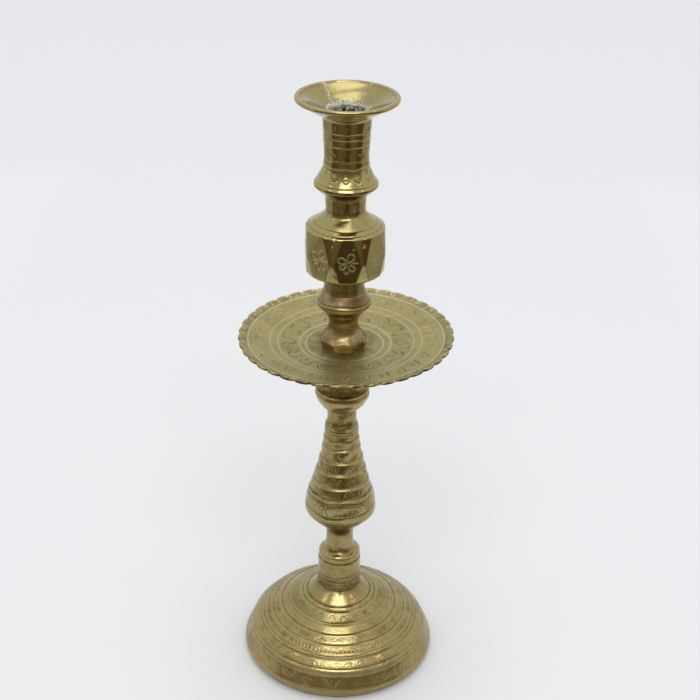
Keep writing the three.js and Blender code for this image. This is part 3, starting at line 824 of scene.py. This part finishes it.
# %% [markdown]
# ## Wax
#
# Old wax clings round the mouth of the bore, outside and inside, as grey-white crumbs, and one thin run
# of it goes up the dish where a candle once leaned. Each crumb is a small lump that is pressed on the
# dish's slope: a sphere of few faces, pushed about by chance and flattened along the slope. Particles
# or instances would scatter them too, but lumps in one mesh ride on the socket as a single piece.

# %% One crumb of wax
import bmesh
from mathutils import Matrix, Vector, noise

DISH_SLOPE = math.atan2(399.3 - BORE_MOUTH, 28 - BORE)
UPRIGHT = math.pi / 2


def dish_height(radius):
    """The height of the dish's surface at a radius."""
    return BORE_MOUTH + (radius - BORE) * math.tan(DISH_SLOPE)


def crumb(lumps, degrees, radius, height, slope, long, thick):
    """One lump of wax on a slope of the brass, about long millimetres across and thick ones high."""
    a = math.radians(degrees)
    place = Vector((radius * math.sin(a), -radius * math.cos(a), height)) * MM
    lean = Matrix.Rotation(-slope, 4, "Y")
    turn = Matrix.Rotation(a - UPRIGHT, 4, "Z")
    size = Matrix.Diagonal((long / 2 * MM, long / 2 * chance.uniform(0.6, 1.0) * MM, thick * MM, 1))
    made = bmesh.ops.create_icosphere(lumps, subdivisions=2, radius=1.0)
    for vertex in made["verts"]:
        vertex.co *= 1 + 0.35 * noise.noise(vertex.co * 1.7 + Vector((radius, degrees, 0)))
        vertex.co = Matrix.Translation(place) @ turn @ lean @ size @ vertex.co


print("the dish slopes by", round(math.degrees(DISH_SLOPE), 1), "degrees")

# %% Lay the crumbs
ON_DISH, IN_BORE, IN_RUN = 210, 110, 52
RUN_TOP, RUN_BOTTOM, RUN_START, RUN_SWING = 27.0, 12.5, -151, 14
lumps = bmesh.new()
for _ in range(ON_DISH):
    radius = BORE + 0.2 + abs(chance.normal(0, 1.7))
    crumb(lumps, chance.normal(-158, 52), radius, dish_height(radius), DISH_SLOPE, chance.uniform(0.6, 1.9),
          chance.uniform(0.15, 0.4))
for _ in range(IN_BORE):
    crumb(lumps, 180 + chance.normal(0, 48), BORE - 0.1, BORE_MOUTH - abs(chance.normal(0, 1.9)), UPRIGHT,
          chance.uniform(0.8, 2.2), chance.uniform(0.2, 0.5))
for share in np.linspace(0, 1, IN_RUN):
    wave = 0.5 * math.sin(share * 11) + chance.normal(0, 0.25)
    radius = RUN_TOP + (RUN_BOTTOM - RUN_TOP) * share
    crumb(lumps, RUN_START + RUN_SWING * share + math.degrees(wave / radius), radius, dish_height(radius),
          DISH_SLOPE, chance.uniform(1.0, 1.9), 0.18)
wax_mesh = bpy.data.meshes.new("candle_wax")
lumps.to_mesh(wax_mesh)
lumps.free()
wax_mesh.polygons.foreach_set("use_smooth", [True] * len(wax_mesh.polygons))
wax = bpy.data.objects.new("candle_wax", wax_mesh)
bpy.context.scene.collection.objects.link(wax)
print("wax crumbs have", len(wax_mesh.polygons), "faces")

# %% [markdown]
# ## Studs
#
# The castings are joined by lengths of 10 mm threaded rod with a pitch of 1.5 mm. The thread is a
# helix: the radius at each point depends on its height less the part of a turn that it has gone
# round. The ends are chamfered, as a saw and a file leave them. A Screw modifier makes a thread as
# well, but its ends need cleaning up, and here they close by themselves.

# %% Make the studs
STUD_RADIUS, STUD_CHAMFER = 5.0, 0.8
THREAD_DEPTH, THREAD_PITCH, ROWS_PER_TURN = 0.75, 1.5, 8
STUD_ENDS = {"foot_stud": (60, 87), "tray_stud": (190.5, 250.8), "knop_stud": (274.3, 301.3),
             "socket_stud": (324.5, 349.5)}


def threaded(name, low, high, columns=48):
    """A threaded rod between two heights, with chamfered ends."""
    rows = round((high - low) * ROWS_PER_TURN / THREAD_PITCH) + 1
    heights = np.linspace(high, low, rows)[:, None]
    around = (np.arange(columns) * 2 * math.pi / columns)[None]
    lap = (heights / THREAD_PITCH - around / (2 * math.pi)) % 1
    crest = np.clip(np.abs(lap - 0.5) * 2.6 - 0.15, 0, 1)
    end = np.minimum(high - heights, heights - low)
    limit = STUD_RADIUS - np.clip(STUD_CHAMFER - end, 0, STUD_CHAMFER)
    r = np.minimum(STUD_RADIUS - THREAD_DEPTH * crest, limit)
    grid = np.stack([r * np.sin(around), -r * np.cos(around), heights * np.ones_like(r)], -1)
    nothing = np.zeros_like(r)
    notes = {"cut": crest, "hollow": crest * 0.5, "worn": 1 - crest, "polish_and_highlight": nothing, "stain_and_shade": nothing,
             "skin": nothing, "along": heights + nothing}
    return mesh_from_grid(name, grid, notes, closed=False)


studs = {node: threaded(node + "_rod", *ends) for node, ends in STUD_ENDS.items()}

# %% [markdown]
# ## Materials: one helper
#
# A shader is a net of nodes. The helper adds one node, sets its options and its inputs, and joins an
# input to another node's output where it is given one. An input is named as Blender names it, with
# its spaces written as underscores, or by its number where several share a name.

# %% A node helper
def add(tree, kind, options=None, **inputs):
    """Adds a node with its options and its inputs, which are values or other nodes' outputs."""
    made = tree.nodes.new(kind)
    for option, value in (options or {}).items():
        setattr(made, option, value)
    for name, value in inputs.items():
        socket = made.inputs[int(name[1:])] if name[1:].isdigit() else made.inputs[name.replace("_", " ")]
        if isinstance(value, bpy.types.NodeSocket):
            tree.links.new(value, socket)
        else:
            socket.default_value = value
    return made


def per_mm(size):
    """The scale of a texture whose features are size millimetres across."""
    return 1 / (size * MM)


print("blotches 5 mm across need a texture scale of", round(per_mm(5)))

# %% [markdown]
# ## Cast and turned brass
#
# Brass is copper with zinc. Turned and rubbed, it is a pale yellow mirror, a little blurred by the
# turner's tool marks. Over the years it tarnishes to olive and brown, first in the cuts, the hollows
# and the pits, while hands and polish keep the high edges bright. The material adds those places up to
# one amount of tarnish, broken up by cloudy noise, and the tarnish is darker and rougher than the metal.
# The same darkening also paints the shade that the tray throws on the collar. Two more colours lie on
# top: the pale crust of old polish in some marks, which on the tray's scribed circles also paints their
# highlight, and rare white specks of lime.
#
# The clouds of tarnish are as wide as a fingertip, the blotches as a finger's edge and the specks as a
# blow hole. The tool marks of a lathe are about 0.2 mm apart, finer than a pixel here, so they are
# drawn 0.7 mm apart and very shallow. A metal keeps the default IOR, because its colour alone sets its
# shine. Painted or photographed textures would stretch on the stem, so every pattern is computed in
# space or, for the tool marks, along the outline.

# %% Layers of colour
CRUST_AND_HIGHLIGHT = "#DCD4B2"
CLOUD, BLOTCH, SPECK, TOOL_MARK = 16, 5, 1.1, 0.7


def layered(tree, under, over, share):
    """The output of a mix of two colours, each a hex colour or another node's output."""
    mix = add(tree, "ShaderNodeMix", {"data_type": "RGBA"}, Factor=share)
    for slot, colour in ((6, under), (7, over)):
        if isinstance(colour, str):
            mix.inputs[slot].default_value = linear(colour)
        else:
            tree.links.new(colour, mix.inputs[slot])
    return mix.outputs[2]


def clouds(tree, where, size, detail, roughness):
    """The grey value of a cloudy pattern whose features are size millimetres across."""
    return add(tree, "ShaderNodeTexNoise", Vector=where, Scale=per_mm(size), Detail=detail,
               Roughness=roughness).outputs["Fac"]


print("the crust of old polish is", [round(v, 3) for v in linear(CRUST_AND_HIGHLIGHT)])


# %% How tarnished a place is
def tarnish_amount(tree, note, cloudy, blotchy, speckled, tarnished):
    """How tarnished each place is: more in haze, flecks, hollows, cuts, soiling and painted shade, less on
    worn edges.
    """
    haze = add(tree, "ShaderNodeMapRange", Value=cloudy, _1=0.42, _2=0.68)
    patchy = add(tree, "ShaderNodeMapRange", Value=blotchy, _1=0.38, _2=0.6, _3=0.2, _4=1.0)
    flecks = add(tree, "ShaderNodeMapRange", Value=speckled, _1=0.60, _2=0.72)
    # Soiling here includes painted shade, on the collar under the tray.
    dirt_and_shade = add(tree, "ShaderNodeMath", {"operation": "MAXIMUM"}, _0=note["cut"], _1=note["stain_and_shade"])
    patches = add(tree, "ShaderNodeMath", {"operation": "MULTIPLY"}, _0=dirt_and_shade.outputs[0],
                  _1=patchy.outputs["Result"])
    amount = note["skin"]
    for source, share in ((haze.outputs["Result"], tarnished), (flecks.outputs["Result"], 0.3),
                          (note["hollow"], 0.4), (patches.outputs[0], 0.6), (note["worn"], -0.5),
                          (note["polish_and_highlight"], -0.4)):
        amount = add(tree, "ShaderNodeMath", {"operation": "MULTIPLY_ADD"}, _0=source, _1=share,
                     _2=amount).outputs[0]
    return amount


# %% Cast and turned brass
def turned_brass(name, metal, tarnish, blush, polish, dull, tarnished=0.3, reddish=0.5, ring_bump=0.12,
                 wobble=0.15):
    """Brass that was cast, turned and left to tarnish, with its roughness polished and dull."""
    material = bpy.data.materials.new(name)
    material.use_nodes = True
    tree = material.node_tree
    tree.nodes.clear()
    note = {key: add(tree, "ShaderNodeAttribute", {"attribute_name": key}).outputs["Fac"]
            for key in ("cut", "polish_and_highlight", "stain_and_shade", "hollow", "worn", "skin", "along")}
    spot = add(tree, "ShaderNodeTexCoord").outputs["Object"]
    cloudy = clouds(tree, spot, CLOUD, 4.0, 0.6)
    blotchy = clouds(tree, spot, BLOTCH, 3.0, 0.6)
    speckled = clouds(tree, spot, SPECK, 2.0, 0.5)
    amount = tarnish_amount(tree, note, cloudy, blotchy, speckled, tarnished)

    lime = add(tree, "ShaderNodeMapRange", Value=speckled, _1=0.27, _2=0.24, _4=0.8)
    reddened = add(tree, "ShaderNodeMapRange", Value=blotchy, _1=0.5, _2=0.7, _4=reddish)
    # The pale crust is dried polish in the marks, and on the tray's circles it also paints their highlight.
    crust_and_highlight = add(tree, "ShaderNodeMath", {"operation": "MULTIPLY"}, _0=note["polish_and_highlight"], _1=0.6)
    colour = layered(tree, metal, blush, reddened.outputs["Result"])
    colour = layered(tree, colour, tarnish, amount)
    colour = layered(tree, colour, CRUST_AND_HIGHLIGHT, crust_and_highlight.outputs[0])
    colour = layered(tree, colour, CRUST_AND_HIGHLIGHT, lime.outputs["Result"])
    roughness = add(tree, "ShaderNodeMapRange", Value=amount, _3=polish, _4=dull).outputs["Result"]

    lathe = add(tree, "ShaderNodeTexNoise", {"noise_dimensions": "1D"}, W=note["along"],
                Scale=1 / TOOL_MARK, Detail=2.0)
    rings = add(tree, "ShaderNodeBump", Strength=ring_bump, Distance=0.1 * MM, Height=lathe.outputs["Fac"])
    waves = add(tree, "ShaderNodeBump", Strength=wobble, Distance=0.5 * MM, Height=blotchy,
                Normal=rings.outputs["Normal"])
    skin = add(tree, "ShaderNodeBump", Strength=0.25, Distance=0.05 * MM, Height=speckled,
               Normal=waves.outputs["Normal"])
    metal_shader = add(tree, "ShaderNodeBsdfPrincipled", Base_Color=colour, Metallic=1.0,
                       Roughness=roughness, Normal=skin.outputs["Normal"])
    add(tree, "ShaderNodeOutputMaterial", Surface=metal_shader.outputs["BSDF"])
    return material


# %% [markdown]
# ## Five states of the same brass
#
# The foot and the stem are tarnished, the collar and the spool are reddened where zinc has left the
# surface, and the knop and the socket, which hands hold, are rubbed bright. The tray is sheet, so it
# is duller and blurs what it mirrors, and the rolled threads have no tool marks.

# %% Five states of the same brass
aged_brass = turned_brass("cast_turned_brass_tarnished", "#A49867", "#4F4220", "#AA7E50", 0.20, 0.42,
                          reddish=0.6, ring_bump=0.16, wobble=0.3)
red_brass = turned_brass("cast_turned_brass_reddened", "#A09066", "#503A22", "#A5785C", 0.24, 0.42,
                         reddish=0.9, ring_bump=0.16, wobble=0.25)
rubbed_brass = turned_brass("cast_turned_brass_rubbed", "#AA9E6A", "#574925", "#AE8656", 0.14, 0.38,
                            tarnished=0.18, ring_bump=0.14)
sheet_brass = turned_brass("hammered_sheet_brass", "#AEA371", "#504628", "#A8905F", 0.45, 0.52,
                           tarnished=0.2, reddish=0.4, ring_bump=0.2)
stud_brass = turned_brass("rolled_thread_brass", "#A5966A", "#4C3E1C", "#9C7A4A", 0.32, 0.5, ring_bump=0.0,
                          wobble=0.0)
print("materials", [m.name for m in bpy.data.materials])

# %% [markdown]
# ## Old wax
#
# Candle wax is paraffin: it lets some light in, which softens its edges, and dust turns it grey. Its
# IOR is 1.44, and one fine noise between two greys stands for the dust on the crumbs.

# %% Old wax
old_wax = bpy.data.materials.new("dusty_paraffin_wax")
old_wax.use_nodes = True
wax_tree = old_wax.node_tree
wax_tree.nodes.clear()
dust = add(wax_tree, "ShaderNodeTexNoise", Scale=per_mm(0.9), Detail=2.0,
           Vector=add(wax_tree, "ShaderNodeTexCoord").outputs["Object"]).outputs["Fac"]
dusty = add(wax_tree, "ShaderNodeValToRGB", Fac=dust)
dusty.color_ramp.elements[0].color, dusty.color_ramp.elements[0].position = linear("#77766A"), 0.35
dusty.color_ramp.elements[1].color, dusty.color_ramp.elements[1].position = linear("#D3D3C6"), 0.6
wax_shader = add(wax_tree, "ShaderNodeBsdfPrincipled", Base_Color=dusty.outputs["Color"], Roughness=0.55,
                 IOR=1.44)
wax_shader.inputs["Subsurface Weight"].default_value = 0.15
wax_shader.inputs["Subsurface Scale"].default_value = 1.0 * MM
add(wax_tree, "ShaderNodeOutputMaterial", Surface=wax_shader.outputs["BSDF"])
print(old_wax.name, "has", len(wax_tree.nodes), "nodes")

# %% [markdown]
# ## Pieces on their bodies
#
# Every piece stands for one CAD node, takes its place and moves with that node's body. The wax stands
# for no node, so it only rides on the socket.

# %% Dress the frame
DRESSED = [
    (foot, "foot", "foot_body", aged_brass, "aged_brass"),
    (lower_stem, "lower_stem", "lower_body", aged_brass, "aged_brass"),
    (collar, "tray_collar", "lower_body", red_brass, "aged_brass"),
    (tray, "drip_tray", "tray_body", sheet_brass, "rubbed_brass"),
    (upper_spool, "upper_spool", "spool_body", red_brass, "aged_brass"),
    (knop, "knop", "knop_body", rubbed_brass, "rubbed_brass"),
    (socket, "candle_socket", "socket_body", rubbed_brass, "rubbed_brass"),
    *((rod, node, node + "_body", stud_brass, "stud_brass") for node, rod in studs.items()),
]
for piece, node, body, material, slot in DRESSED:
    piece.data.materials.append(material)
    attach(piece, body)
    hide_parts(node)
wax.data.materials.append(old_wax)
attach(wax, "socket_body")
print(len(DRESSED) + 1, "pieces")

# %% [markdown]
# ## Floor and light
#
# The candlestick stands on a pale floor in a pale, evenly lit room. A brass surface shows what it
# reflects, so the room needs some shape, and only the brass sees that shape. The pale floor reaches
# three tenths of a metre in front of the foot's middle. Beyond it, and up to some thirty degrees, lies a
# dimmer room in browns and greys. To the sides and the back it stays a pale grey.
#
# A strip of skylight glows from over the viewer to over the candlestick and gives the bright rings on
# all that faces up. A soft panel in it gives the long highlights, and two small warm lamps give orange
# glints. Plain lamps alone would leave the brass brown and flat, since a mirror needs things to mirror.

# %% Floor
def plain(name, colour):
    """A plain diffuse material for the stage."""
    material = bpy.data.materials.new(name)
    material.use_nodes = True
    tree = material.node_tree
    tree.nodes.clear()
    shader = add(tree, "ShaderNodeBsdfPrincipled", Base_Color=linear(colour), Roughness=0.9)
    add(tree, "ShaderNodeOutputMaterial", Surface=shader.outputs[0])
    return material


def stage_piece(name, quads, material):
    """A flat stage piece from its faces, each a list of corners in metres."""
    corners = [corner for quad in quads for corner in quad]
    starts = np.cumsum([0] + [len(quad) for quad in quads])
    mesh = bpy.data.meshes.new(name)
    mesh.from_pydata(corners, [], [list(range(a, b)) for a, b in zip(starts, starts[1:])])
    piece = bpy.data.objects.new(name, mesh)
    mesh.materials.append(material)
    bpy.context.scene.collection.objects.link(piece)
    return piece


FLOOR_RADIUS = 3.2
disc = [(FLOOR_RADIUS * math.cos(a), FLOOR_RADIUS * math.sin(a), 0.0)
        for a in np.linspace(0, 2 * math.pi, 65)[:-1]]
floor = stage_piece("floor", [disc], plain("pale_floor", "#DFE0E2"))
print("the floor is", 2 * FLOOR_RADIUS, "m across")

# %% Surroundings that only the brass sees
CARD_FRONT, CARD_SIDE, CARD_BACK, CARD_FAR, CARD_HEIGHT = -0.31, 0.36, 0.9, 3.0, 0.001
FRONT_BLEND, SIDE_BLEND = 0.06, 0.2
around_card = bpy.data.materials.new("dark_room_and_grey_floor")
around_card.use_nodes = True
card_tree = around_card.node_tree
card_tree.nodes.clear()
spot = add(card_tree, "ShaderNodeSeparateXYZ",
           Vector=add(card_tree, "ShaderNodeTexCoord").outputs["Object"]).outputs
forward = add(card_tree, "ShaderNodeMath", {"operation": "MULTIPLY"}, _0=spot["Y"], _1=-1.0).outputs[0]
bearing = add(card_tree, "ShaderNodeMath", {"operation": "ARCTAN2"}, _0=spot["X"], _1=forward).outputs[0]
share = add(card_tree, "ShaderNodeMapRange", Value=bearing, _1=-math.pi, _2=math.pi).outputs["Result"]
room_ramp = add(card_tree, "ShaderNodeValToRGB", Fac=share)
stops = [(-180, "#BDBDBA"), (-79, "#BDBCB4"), (-74, "#6A5E4C"), (-45, "#706552"), (-30, "#8A7E64"),
         (-6, "#7E735A"), (2, "#504A3C"), (14, "#554C3A"), (22, "#878166"), (42, "#847B62"),
         (52, "#6A4E38"), (80, "#6E543E"), (90, "#BDBCB4"), (180, "#BDBDBA")]
elements = room_ramp.color_ramp.elements
for number, (degrees, shade) in enumerate(stops):
    element = elements[number] if number < 2 else elements.new((degrees + 180) / 360)
    element.position = (degrees + 180) / 360
    element.color = linear(shade)
aside = add(card_tree, "ShaderNodeMath", {"operation": "ABSOLUTE"}, _0=spot["X"]).outputs[0]
near_front = add(card_tree, "ShaderNodeMapRange", Value=forward, _1=-CARD_FRONT, _2=FRONT_BLEND - CARD_FRONT)
near_side = add(card_tree, "ShaderNodeMapRange", Value=aside, _1=CARD_SIDE, _2=CARD_SIDE + SIDE_BLEND)
far_enough = add(card_tree, "ShaderNodeMath", {"operation": "MAXIMUM"}, _0=near_front.outputs["Result"],
                 _1=near_side.outputs["Result"])
shade = layered(card_tree, "#E4E4E4", room_ramp.outputs["Color"], far_enough.outputs[0])
add(card_tree, "ShaderNodeOutputMaterial",
    Surface=add(card_tree, "ShaderNodeEmission", Color=shade, Strength=1.0).outputs[0])
print("the room shows", len(stops), "shades all the way round")


# %% Lay the card
def rectangle(left, right, front, back):
    """The corners of a rectangle that lies just over the floor."""
    return [(x, y, CARD_HEIGHT) for x, y in ((left, front), (right, front), (right, back), (left, back))]


card = stage_piece("surroundings", [rectangle(-CARD_FAR, CARD_FAR, -CARD_FAR, CARD_FRONT),
                                    rectangle(-CARD_FAR, -CARD_SIDE, CARD_FRONT, CARD_BACK),
                                    rectangle(CARD_SIDE, CARD_FAR, CARD_FRONT, CARD_BACK)], around_card)
card.visible_camera = card.visible_diffuse = card.visible_shadow = card.visible_transmission = False
print("the room's card starts", -CARD_FRONT, "m in front of the foot's middle")

# %% Room light
SKYLIGHT = 2.6
SKY_SIDE, SKY_LOW, SKY_BACK = (0.36, 0.18), (0.56, 0.78), (0.52, 0.38)
ROOM_TOP, ROOM_FRONT = (0.72, 0.2), (-0.1, -0.4)
world = bpy.data.worlds.new("pale_room")
bpy.context.scene.world = world
world.use_nodes = True
sky = world.node_tree
sky.nodes.clear()
toward = add(sky, "ShaderNodeSeparateXYZ", Vector=add(sky, "ShaderNodeTexCoord").outputs["Generated"]).outputs


def fade(part, start, full):
    """A soft step from 0 to 1, as one part of the direction goes from start to full."""
    return add(sky, "ShaderNodeMapRange", {"interpolation_type": "SMOOTHSTEP"}, Value=part, _1=start,
               _2=full).outputs["Result"]


def times(one, other):
    """The product of two outputs."""
    return add(sky, "ShaderNodeMath", {"operation": "MULTIPLY"}, _0=one, _1=other).outputs[0]


offside = add(sky, "ShaderNodeMath", {"operation": "ABSOLUTE"}, _0=toward["X"]).outputs[0]
strip = times(fade(offside, *SKY_SIDE), fade(toward["Y"], *SKY_BACK))
skylight = times(fade(toward["Z"], *SKY_LOW), strip)
dark = times(fade(toward["Z"], *ROOM_TOP), fade(toward["Y"], *ROOM_FRONT))
walls = layered(sky, "#EBECEE", "#988C72", dark)
glow = add(sky, "ShaderNodeMapRange", Value=skylight, _3=1.0, _4=SKYLIGHT)
lit = add(sky, "ShaderNodeBackground", Color=walls, Strength=glow.outputs["Result"])
seen = add(sky, "ShaderNodeBackground", Color=linear("#E3E4E5"), Strength=1.0)
path = add(sky, "ShaderNodeLightPath")
shown = add(sky, "ShaderNodeMixShader", Fac=path.outputs["Is Camera Ray"])
sky.links.new(lit.outputs[0], shown.inputs[1])
sky.links.new(seen.outputs[0], shown.inputs[2])
add(sky, "ShaderNodeOutputWorld", Surface=shown.outputs[0])
print("the skylight is full from", round(math.degrees(math.asin(SKY_LOW[1]))), "degrees up")

# %% Panel and lamps
MIDDLE = Vector((0, 0, 0.2))
WARM = (1.0, 0.62, 0.36)


def soft_panel(name, azimuth, elevation, distance, wide, high, power, colour=(1, 1, 1)):
    """A soft light that faces the middle of the candlestick; azimuth 0 is the viewer's side."""
    data = bpy.data.lights.new(name, "AREA")
    data.shape, data.size, data.size_y = "RECTANGLE", wide, high
    data.energy, data.color = power, colour
    lamp = bpy.data.objects.new(name, data)
    a, e = math.radians(azimuth), math.radians(elevation)
    away = Vector((math.sin(a) * math.cos(e), -math.cos(a) * math.cos(e), math.sin(e)))
    lamp.location = MIDDLE + away * distance
    lamp.rotation_euler = away.to_track_quat("Z", "Y").to_euler()
    lamp.visible_camera = False
    bpy.context.scene.collection.objects.link(lamp)
    print(f"{name}: {power} W, {distance} m away, {elevation} degrees up")
    return lamp


panel = soft_panel("panel_over_viewer", 0, 52, 1.7, 1.2, 0.3, 4.2)
left_lamp = soft_panel("warm_lamp_left", -66, 42, 1.6, 0.12, 0.16, 0.42, WARM)
right_lamp = soft_panel("warm_lamp_right", 66, 42, 1.6, 0.12, 0.16, 0.42, WARM)

# %% [markdown]
# ## Camera
#
# The camera hangs a quarter of a metre above the socket, looks down 28 degrees and is rolled by about
# one degree, since the real candlestick leans a little. The lens gives a mild foreshortening on a
# square frame. It is placed by numbers, because a camera aimed by hand can't be repeated.

# %% Camera
LOOK_DOWN, ROLL = 28.2139, 1.2003
CAMERA_PLACE = (0.0044, -0.786468, 0.654714)
camera_data = bpy.data.cameras.new("camera")
camera_data.sensor_width, camera_data.lens = 36.0, 72.27
camera_data.clip_start, camera_data.clip_end = 0.05, 20.0
camera = bpy.data.objects.new("camera", camera_data)
camera.matrix_world = (Matrix.Translation(CAMERA_PLACE)
                       @ Matrix.Rotation(math.radians(90 - LOOK_DOWN), 4, "X")
                       @ Matrix.Rotation(math.radians(ROLL), 4, "Z"))
bpy.context.scene.collection.objects.link(camera)
bpy.context.scene.camera = camera
bpy.context.scene.view_settings.view_transform = "Standard"
print("the camera sees", round(math.degrees(camera_data.angle), 1), "degrees across")
